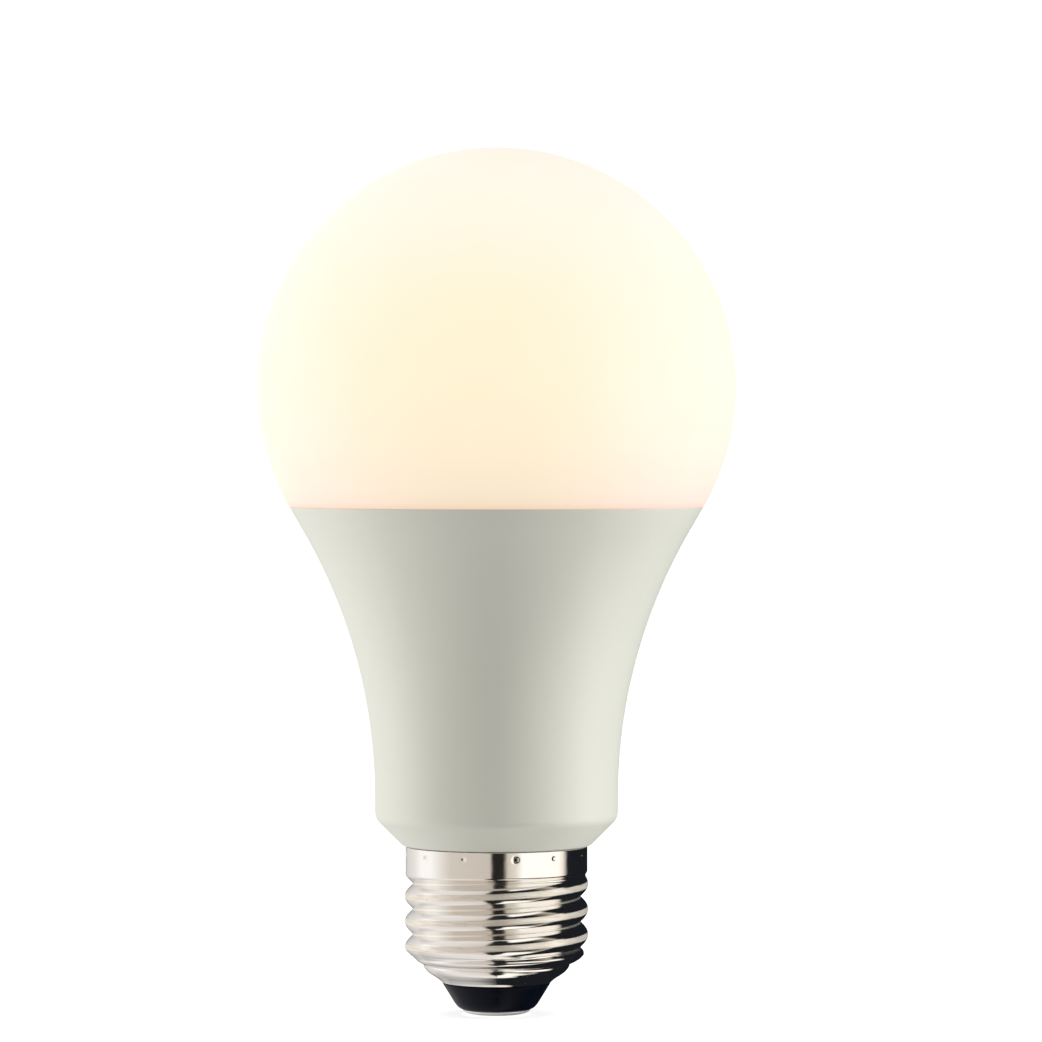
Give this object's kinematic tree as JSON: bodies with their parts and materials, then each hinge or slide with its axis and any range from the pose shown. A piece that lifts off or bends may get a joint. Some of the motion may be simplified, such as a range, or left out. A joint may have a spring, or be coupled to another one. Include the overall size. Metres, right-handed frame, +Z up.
{
  "type": "smart light bulb",
  "caption": "Screw-cap smart LED bulb: a frosted globe on a flared white housing, with LED boards, mains driver and wireless module sealed inside.",
  "frame": {"origin": "on the bulb's axis, at the lowest face of the centre contact", "axes": "+Z up the axis from the cap to the globe; -Y is the front, where the housing would carry its printed mark; +X to the right"},
  "size_m": [0.0682, 0.0682, 0.1236],
  "materials": {
    "frosted_globe": "milky polycarbonate with a fine satin face, lit from inside",
    "housing_plastic": "satin off-white moulded plastic",
    "silicone": "cured white silicone",
    "sink_aluminium": "drawn, bare",
    "thermal_compound": "pale grey paste",
    "led_board_mask": "white solder mask on an aluminium core",
    "screw_steel": "zinc plated",
    "warm_phosphor": "white package with orange phosphor",
    "cool_phosphor": "white package with yellow phosphor",
    "red_led": "clear package over a red die",
    "green_led": "clear package over a green die",
    "blue_led": "clear package over a blue die",
    "connector_plastic": "black moulded",
    "gilt_pin": "gold flash",
    "board_laminate": "green mask on glass laminate",
    "module_laminate": "dark green mask on glass laminate",
    "aerial_copper": "gilded copper strip",
    "can_sleeve_dark": "black film sleeve on an aluminium can",
    "can_sleeve_blue": "dark blue film sleeve on an aluminium can",
    "film_epoxy": "dipped red-brown epoxy",
    "ferrite": "ground ferrite",
    "copper_winding": "enamelled copper wire",
    "winding_tape": "yellow polyester tape",
    "varistor_epoxy": "dipped blue epoxy",
    "resistor_body": "lacquered ceramic",
    "chip_epoxy": "moulded epoxy with tinned legs",
    "thick_film": "black thick film on alumina",
    "chip_ceramic": "fired tan ceramic",
    "shield_tin": "tin plated sheet",
    "live_insulation": "red silicone insulation",
    "neutral_insulation": "white silicone insulation",
    "solder": "bright tin solder",
    "cap_nickel": "bright nickel plate on rolled sheet",
    "cap_glass": "fused black glass, glossy",
    "contact_metal": "nickel plated, bright",
    "sleeve_brass": "turned brass"
  },
  "bodies": {
    "root": {"globe": "frosted_globe", "housing": "housing_plastic", "globe_adhesive": "silicone", "heat_sink": "sink_aluminium", "thermal_paste": "thermal_compound", "led_board": "led_board_mask", "led_board_screws": "screw_steel", "warm_white_leds": "warm_phosphor", "cool_white_leds": "cool_phosphor", "red_leds": "red_led", "green_leds": "green_led", "blue_leds": "blue_led", "pin_header": "connector_plastic", "module_spacer": "connector_plastic", "transformer_bobbin": "connector_plastic", "header_pins": "gilt_pin", "module_pins": "gilt_pin", "driver_board": "board_laminate", "wireless_board": "module_laminate", "aerial_trace": "aerial_copper", "bulk_capacitor": "can_sleeve_dark", "output_capacitor": "can_sleeve_dark", "supply_capacitor": "can_sleeve_blue", "film_capacitor": "film_epoxy", "choke_core": "ferrite", "transformer_core": "ferrite", "choke_winding": "copper_winding", "transformer_winding": "winding_tape", "varistor": "varistor_epoxy", "fusible_resistor": "resistor_body", "bridge_rectifier": "chip_epoxy", "driver_chip": "chip_epoxy", "colour_driver_chip": "chip_epoxy", "output_diode": "chip_epoxy", "wireless_chip": "chip_epoxy", "chip_resistors": "thick_film", "chip_capacitors": "chip_ceramic", "module_shield": "shield_tin", "crystal": "shield_tin", "live_lead": "live_insulation", "neutral_lead": "neutral_insulation", "contact_solder": "solder", "shell_solder": "solder", "cap_shell": "cap_nickel", "cap_insulator": "cap_glass", "centre_contact": "contact_metal", "contact_sleeve": "sleeve_brass"}
  },
  "joints": []
}
